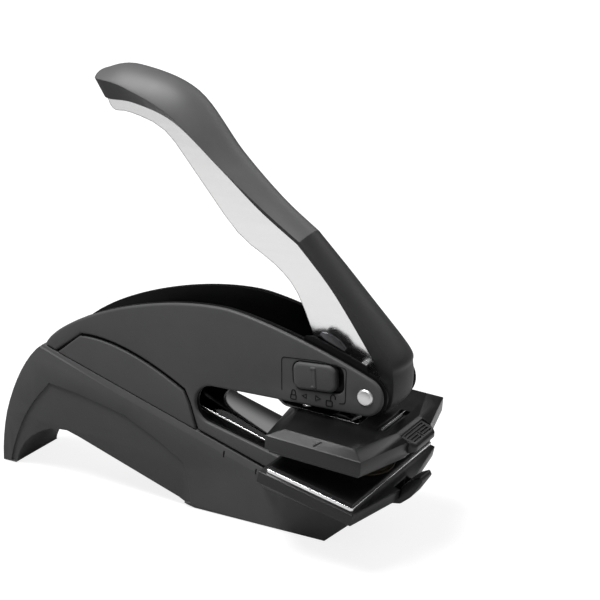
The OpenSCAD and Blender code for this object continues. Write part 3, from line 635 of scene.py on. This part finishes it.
turnings = [
    ("pivot_pin_turned", "pivot_pin", across(turned_round(pin_rows, 64), PIN), "base", pin_steel, 30),
    ("roller_turned", "press_roller", across(turned_round(roller_rows, 64, ring=True), ROLLER_C), "roller",
     bright_steel, 30),
    ("roller_axle", "roller_pin", across(turned_round(axle_rows), ROLLER_C), "handle", bright_steel, 30),
    ("frame_tubes", "frame_spacers", joined(tubes), "base", tube_steel, 30),
    ("stop_sleeve", "lever_buffer", across(sleeve, SPACERS[2]), "base", foot_rubber, 40),
    ("latch_axle", "latch_pin", across(turned_round(latch_rows, 24), (40, 16.2)), "base", bright_steel, 30),
    ("lower_die_blank", "lower_die", lower_die, "base", die_brass, 30),
    ("upper_die_blank", "upper_die", upper_die, "jaw", die_brass, 30),
    ("leaf_rivet_heads", "leaf_rivets", joined(heads), "jaw", bright_steel, 50)]
slots = {foot_rubber: "rubber", die_brass: "die_brass"}
for name, node, block, body, finish, smooth in turnings:
    piece(name, *block, body, finish, smooth, [node], slots.get(finish, "bright_steel"))

# %% [markdown]
# One strip of spring steel joins the tray to the upper holder: it runs back under the arms,
# turns over in a wide bend and comes forward to the holder. Here it is one piece from end to
# end, a rounded bar section carried along its path. On the press it is fixed to the base below
# and rides with the jaw above; here it is attached to no body. The plate under the die lies on the tray.
# %% The spring strip
def rounded_path(points, cut, n=8):
    """An open line whose corners are replaced by quadratic curves that start cut before them."""
    p = np.array(points, float)
    out = [p[:1]]
    t = np.linspace(0, 1, n)[:, None]
    for a, b, c in zip(p[:-2], p[1:-1], p[2:]):
        u, v = a - b, c - b
        lu, lv = np.linalg.norm(u), np.linalg.norm(v)
        e, f = b + u / lu * min(cut, lu * 0.45), b + v / lv * min(cut, lv * 0.45)
        out.append((1 - t) ** 2 * e + 2 * t * (1 - t) * b + t * t * f)
    return np.vstack([*out, p[-1:]])


def swept_bar(path, half_w, half_t, r=0.15):
    """A flat bar along a side-view path: at each point a rounded rectangle stands across the path's normal."""
    p = np.asarray(path, float)
    d = np.gradient(p, axis=0)
    d /= np.linalg.norm(d, axis=1)[:, None]
    normal = np.stack([-d[:, 1], d[:, 0]], 1)
    wide, thick = rounded((0, 0), 2 * half_w, 2 * half_t, r, 3).T
    x = p[:, :1] + normal[:, :1] * thick
    z = p[:, 1:] + normal[:, 1:] * thick
    y = np.broadcast_to(wide, x.shape)
    rows, cols = x.shape
    faces = wall_faces(rows, cols) + [list(range(cols)), list(range((rows - 1) * cols, rows * cols))]
    return np.stack([x, y, z], -1).reshape(-1, 3), faces


def on_plane(plane, x, up):
    """A point of the side view at x along a tilted plane and up above it."""
    a = math.radians(plane[1])
    return np.array((x * math.cos(a) + up * math.sin(a), plane[0] + up * math.cos(a) - x * math.sin(a)))


STRAP_DEG, BEND_X = 16.2, -27
STRIP_LIFT = 0.05 + STRIP_T / 2
STRAP, TILT = math.radians(STRAP_DEG), math.radians(HOLDER[1])
low_mid = TRAY[0] + PLATE_T - 3.3
high_mid = HOLDER[0] + (BEVEL_H - STRIP_T / 2 + 2.2) / math.cos(TILT)
# The lower run has the height low_mid - x tan(STRAP), the upper one high_mid - x tan(TILT). The
# bend is the circle about x = BEND_X that touches both.
bend_room = high_mid - low_mid + BEND_X * (math.tan(STRAP) - math.tan(TILT))
bend_r = bend_room * math.cos(STRAP) / (1 + math.cos(STRAP) / math.cos(TILT))
bend_c = (BEND_X, high_mid - BEND_X * math.tan(TILT) - bend_r / math.cos(TILT))
turn = arc(bend_c, bend_r, 270 - STRAP_DEG, 90 - HOLDER[1], 40)
lead = [*(on_plane(TRAY, x, STRIP_LIFT) for x in (15.0, 10.2)), (6.6, low_mid - 6.6 * math.tan(STRAP)), turn[0]]
straight = np.linspace(turn[-1], on_plane(HOLDER, 3.0, 3.6), 24)
leaf = [straight[-1], *(on_plane(HOLDER, x, up) for x, up in ((4.4, 3.6), (7.5, 1.4), (33.9, 1.4)))]
path = np.vstack([rounded_path(lead, 1.2)[:-1], turn[:-1], straight, rounded_path(leaf, 1.2)[1:]])
strip = piece("spring_strip", *swept_bar(path, LEAF_W / 2, STRIP_T / 2), None, strip_steel, 30, ["upper_leaf"],
              "bright_steel")
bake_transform(strip)
PLATE_FROM, PLATE_TO, PLATE_W = 12.5, 43.4, 62 - 2.2
plan = rounded(((PLATE_FROM + PLATE_TO) / 2, 0), PLATE_TO - PLATE_FROM, PLATE_W, 0.8)
plan_points, plan_faces = plate(plan, 0.05, 0.05 + PLATE_T, 0.15)
piece("under_plate", *tilted((plan_points[:, [0, 2, 1]], plan_faces), *TRAY), "base", bright_steel, 30,
      ["spring_clip"], "bright_steel")

# %% [markdown]
# The lock is a thumb button in the right cover, in a window with a thin moulded line round it and
# four plain marks below: a shut padlock, two arrows, and a padlock whose bow stands aside. The
# button's face is a cushion that turns over at its rim, and a low rib across it takes the thumb.
# %% Lock button and its marks
RIB = BUTTON_C + (0.3, 0)
RIB_BARS = [((0, 0), 1.0, 6.6), ((-0.4, 3.1), 1.9, 0.85), ((-0.4, -3.1), 1.9, 0.85)]


def button_plate(c, l, h, r, n, y0, y1, rim, turns):
    """A rounded plate in the button's own direction."""
    return plate(turned(rounded(c, l, h, r, n), BUTTON_C, BUTTON_DEG), y0, y1, rim, turns=turns)


button_parts = [button_plate(BUTTON_C, BUTTON_L, 9, 2.6, 10, -10.9, -13.7, 1.1, 6),
                button_plate(BUTTON_C, 6, 3, 0.8, 6, -9.5, -11, 0.1, 1)]
button_parts += [button_plate(RIB + d, l, h, 0.4, 5, -13.4, -14.05, 0.3, 3) for d, l, h in RIB_BARS]
piece("button_cap", *joined(button_parts), "lock", panel_black, 35, ["lock_button"], "soft_black")


def bead(path, y, width=0.4, height=0.14, shut=False):
    """A raised line on the side at y: four rows of points along a path in the side view, the middle two raised."""
    p = np.array(path, float)
    d = (np.roll(p, -1, 0) - np.roll(p, 1, 0)) if shut else np.gradient(p, axis=0)
    d /= np.linalg.norm(d, axis=1)[:, None]
    n = np.stack([-d[:, 1], d[:, 0]], 1)
    aside, out = np.array([(-0.5, 0.06), (-0.3, -height), (0.3, -height), (0.5, 0.06)]).T
    x = p[:, :1] + n[:, :1] * aside * width
    z = p[:, 1:] + n[:, 1:] * aside * width
    verts = np.stack([x, np.broadcast_to(y + out, x.shape), z], -1).reshape(-1, 3)
    if shut:
        verts = np.vstack([verts, verts[:4]])
    count = len(verts) // 4
    faces = wall_faces(count, 4)
    if not shut:
        faces += [[0, 1, 2, 3], list(range(4 * count - 4, 4 * count))]
    return verts, faces


FACE_Y = -COVER_Y
frame_path = rounded_path([(8.5, 49.8), (8.3, 60.9), (22, 61.95), (31.05, 61.1), (30.95, 49.4), (28.9, 49.2)], 1.2)
left_body = rounded((12.7, 48.2), 1.9, 1.5, 0.3, 3)
left_bow = np.vstack([[(12.1, 49.0), (12.1, 49.9)], arc((12.75, 50.0), 0.65, 180, 0, 8), [(13.4, 49.0)]])
right_body = rounded((25.4, 48.5), 2.1, 1.8, 0.3, 3)
right_bow = np.vstack([[(25.9, 49.4), (25.9, 50.7)], arc((26.7, 50.8), 0.8, 180, 0, 8), [(27.5, 50.2)]])
left_arrow, right_arrow = [(17.3, 50.0), (15.9, 49.3), (17.3, 48.6)], [(20.6, 50.2), (22.3, 49.4), (20.6, 48.6)]
marks = [bead(frame_path, FACE_Y, 0.35, 0.1)] + [bead(bow, FACE_Y) for bow in (left_bow, right_bow)]
marks += [bead(line, FACE_Y, shut=True) for line in (left_body, right_body, left_arrow, right_arrow)]
# The marks' near-black finish is painted shade for the moulded line and signs, which are the cover's own plastic.
piece("lock_marks", *joined(marks), "base", mark_shade_black, 30)
LUG_Y = -6.3
lug_rows = [(0, 0), (0, 1.1), (2.6, 1.1), (3, 0.8), (3, 0)]
lug_c = turned([(29.8, 57.5)], PIN, -38)[0]
lug = across(turned_round([(LUG_Y - h, r) for h, r in lug_rows], 32), lug_c)
piece("lug_turned", *lug, "handle", bright_steel, 30, ["lock_lug"], "bright_steel")

# %% [markdown]
# The pull tab at the front of the upper holder is ribbed for the finger. Its top is a height
# worked out on a grid: a plane that falls towards the front and rolls over at the edges, less the
# grooves, each of which is a smooth step down to its floor.
# %% The ribbed pull tab
def groove(u, v, u0, u1, v0, v1, soft=0.12):
    """A smooth mask, one inside the box u0..u1 by v0..v1 and zero outside it."""
    inner = np.minimum.reduce([u - u0, u1 - u, v - v0, v1 - v])
    return np.clip(inner / soft + 0.5, 0, 1)


TAB_X, TAB_HW = (48.05, 53.4), 8.3
TAB_TOP, TAB_SLOPE, TAB_UNDER = 0.75, 0.3, -3.9
CORNER, CORNER_CUT = 2.2, 1.3
FRONT_ROLL, FRONT_DROP = 1.2, 0.9
SIDE_ROLL, SIDE_DROP = 0.6, 0.5
CUT_DEPTH = 0.55
u, v = np.meshgrid(np.linspace(*TAB_X, 54), np.linspace(-TAB_HW, TAB_HW, 150), indexing="ij")
corner = np.clip((np.abs(v) - (TAB_HW - CORNER)) / CORNER, 0, 1)
front = TAB_X[1] - CORNER_CUT * corner ** 2
u = TAB_X[0] + (u - TAB_X[0]) * (front - TAB_X[0]) / (TAB_X[1] - TAB_X[0])
drop = FRONT_DROP * np.clip((u - (front - FRONT_ROLL)) / FRONT_ROLL, 0, 1) ** 2
side_drop = SIDE_DROP * np.clip((np.abs(v) - (TAB_HW - SIDE_ROLL)) / SIDE_ROLL, 0, 1) ** 2
cuts = [groove(u, v, 48.5, 48.95, -6.6, 6.6), groove(u, v, 49.6, 50.05, -6.6, 6.6)]
cuts += [groove(u, v, 50.0, 52.3, -0.22, 0.22)]
cuts += [groove(u, v, x, x + 0.42, a, b) for x in (50.7, 51.75) for a, b in ((-6.2, -1.1), (1.1, 6.2))]
top = TAB_TOP - TAB_SLOPE * (u - TAB_X[0]) - drop - side_drop - CUT_DEPTH * np.maximum.reduce(cuts)
rows, cols = u.shape
verts = np.vstack([np.stack([u, v, z], -1).reshape(-1, 3) for z in (top, TAB_UNDER + drop)])
faces = wall_faces(rows, cols, 0, closed=False) + wall_faces(rows, cols, rows * cols, closed=False)
index = np.arange(rows * cols).reshape(rows, cols)
ring = np.concatenate([index[0], index[1:, -1], index[-1, -2::-1], index[-2:0:-1, 0]])
after = np.roll(ring, -1)
faces += np.stack([ring, after, after + rows * cols, ring + rows * cols], 1).tolist()
piece("ribbed_tab", *tilted((verts, faces), *HOLDER), "jaw", holder_black, 40, ["pull_tab"], "black_shell")

# %% [markdown]
# Small things that catch the eye: on the upper holder the clip strip that keeps the die in, a
# narrow steel edge standing in its slot, and a short slanted index mark on the near bevel; and
# two upright marks on the base under the groove.
# %% Clip strip and marks
clip = rounded_path([(41.0, 0.65), (41.6, 0.9), (41.75, 2.05)], 0.3)
clip = on_plane(HOLDER, *clip.T).T
piece("clip_strip", *swept_bar(clip, 9, 0.16, 0.07), "jaw", bright_steel, 30, ["holder_strip"], "bright_steel")


def stroke(a, b, normal, width, height):
    """A low bar from a to b on a plane: four corners just under it, and four nearer together at the height."""
    a, b, n = (np.array(v, float) for v in (a, b, normal))
    n /= np.linalg.norm(n)
    along = (b - a) / np.linalg.norm(b - a)
    across_bar = np.cross(n, along)
    corners = [(a, -1), (a, 1), (b, 1), (b, -1)]
    low = [p + across_bar * s * width / 2 - n * 0.1 for p, s in corners]
    high = [p + across_bar * s * width / 4 + n * height for p, s in corners]
    faces = [[3, 2, 1, 0], [4, 5, 6, 7]] + [[i, (i + 1) % 4, 4 + (i + 1) % 4, 4 + i] for i in range(4)]
    return np.array(low + high), faces


BEVEL_UP, SLOPE_UP, WALL_UP = (0.05, -0.38, 0.92), (0.11, -0.93, 0.35), (0, -1, 0)
index_mark = stroke((28.9, -30.0, 41.07), (30.5, -27.7, 41.92), BEVEL_UP, 0.9, 0.12)
edge_marks = [stroke(*line, 0.08) for line in (
    ((-12.46, -13.19, 24.2), (-12.46, -13.53, 23.3), SLOPE_UP, 0.8),
    ((-12.46, -13.6, 23.4), (-12.5, -13.6, 22.1), WALL_UP, 0.7),
    ((-0.38, -13.18, 20.5), (-0.42, -13.5, 19.7), SLOPE_UP, 0.7),
    ((-0.42, -13.57, 19.8), (-0.45, -13.52, 18.7), WALL_UP, 0.6))]
# The index mark and the two marks on the base wear the same near-black finish as painted shade.
piece("index_mark", *index_mark, "jaw", mark_shade_black, 20, (), "black_shell")
piece("edge_mark", *joined(edge_marks), "base", mark_shade_black, 20, (), "black_shell")

# %% [markdown]
# The studio is a white sweep under soft light. For the camera alone the floor gives off most of
# its white, so it looks white and still takes a pale shadow; further out it gives off all of it
# and meets the white backdrop without a line. The other rays find a grey floor, lighter in the
# polished parts, which keeps the black sides black.
# %% Floor
WHITE = (1, 1, 1, 1)
FLOOR_SHOWN, FLOOR_COLOUR, FLOOR_MIRRORED = 0.84, 0.28, 0.6
FLOOR_HALF = 3.0
GLOW_FROM, GLOW_FULL = 0.25, 1.2
corners = [(x * FLOOR_HALF, y * FLOOR_HALF, 0) for x, y in ((-1, -1), (1, -1), (1, 1), (-1, 1))]
sweep = bpy.data.meshes.new("floor")
sweep.from_pydata(corners, [], [(0, 1, 2, 3)])
floor = bpy.data.objects.new("floor", sweep)
bpy.context.scene.collection.objects.link(floor)
floor_mat, shader, add, link = new_material("floor_white")
shader.inputs["Roughness"].default_value = 0.9
shader.inputs["Specular IOR Level"].default_value = 0.0
shader.inputs["Emission Color"].default_value = WHITE
ray = add("LightPath").outputs
albedo = add("Math", ray["Is Glossy Ray"], FLOOR_MIRRORED - FLOOR_COLOUR, FLOOR_COLOUR, operation="MULTIPLY_ADD")
link(albedo.outputs[0], shader.inputs["Base Color"])
reach = add("VectorMath", add("TexCoord").outputs["Object"], operation="LENGTH").outputs["Value"]
glow = add("MapRange", Value=reach, From_Min=GLOW_FROM, From_Max=GLOW_FULL, To_Min=FLOOR_SHOWN, To_Max=1.0)
glow.interpolation_type = "SMOOTHSTEP"
shown = add("Math", ray["Is Camera Ray"], glow.outputs["Result"], operation="MULTIPLY")
link(shown.outputs[0], shader.inputs["Emission Strength"])
sweep.materials.append(floor_mat)
print("floor", 2 * FLOOR_HALF, "m wide")


# %% [markdown]
# The world is white where the camera sees it. As a lamp it is a room: light above and on the
# near side, dark on the far side. Of the two softboxes the key hangs over the press, so that the
# grip and every upper edge catch its light, and the other one gives the far edges a faint line.
# %% World and lamps
def softbox(name, place, target, size, watts):
    """A rectangular area lamp at place that faces target; all in metres."""
    lamp = bpy.data.lights.new(name, "AREA")
    lamp.shape = "RECTANGLE"
    lamp.size, lamp.size_y = size
    lamp.energy = watts
    ob = bpy.data.objects.new(name, lamp)
    bpy.context.scene.collection.objects.link(ob)
    ob.location = place
    ob.rotation_euler = (Vector(target) - Vector(place)).to_track_quat("-Z", "Y").to_euler()
    print(name, "lamp of", watts, "W")


ROOM_DARK, ROOM_LIGHT = 0.03, 0.3
LIGHT_SIDE = (-0.05, -0.9, 1.0)
world = bpy.data.worlds.new("studio")
bpy.context.scene.world = world
world.use_nodes = True
back = world.node_tree.nodes["Background"]
back.inputs["Color"].default_value = WHITE
add, link = graph_tools(world.node_tree)
ray = add("LightPath").outputs
seen = add("Math", ray["Is Camera Ray"], ray["Is Transmission Ray"], operation="MAXIMUM").outputs[0]
facing = add("VectorMath", add("TexCoord").outputs["Generated"], LIGHT_SIDE, operation="DOT_PRODUCT")
room = add("MapRange", Value=facing.outputs["Value"], From_Min=-0.42, From_Max=-0.12, To_Min=ROOM_DARK,
           To_Max=ROOM_LIGHT)
room.interpolation_type = "SMOOTHSTEP"
power = add("MapRange", Value=seen, To_Min=room.outputs["Result"], To_Max=1.0)
link(power.outputs["Result"], back.inputs["Strength"])
softbox("key", (-0.28, -0.3, 1.1), (0, 0, 0.06), (0.5, 0.5), 15.0)
softbox("rear", (0.45, 0.95, 0.75), (0, 0, 0.08), (0.9, 0.6), 2.4)
bpy.context.scene.view_settings.view_transform = "Standard"
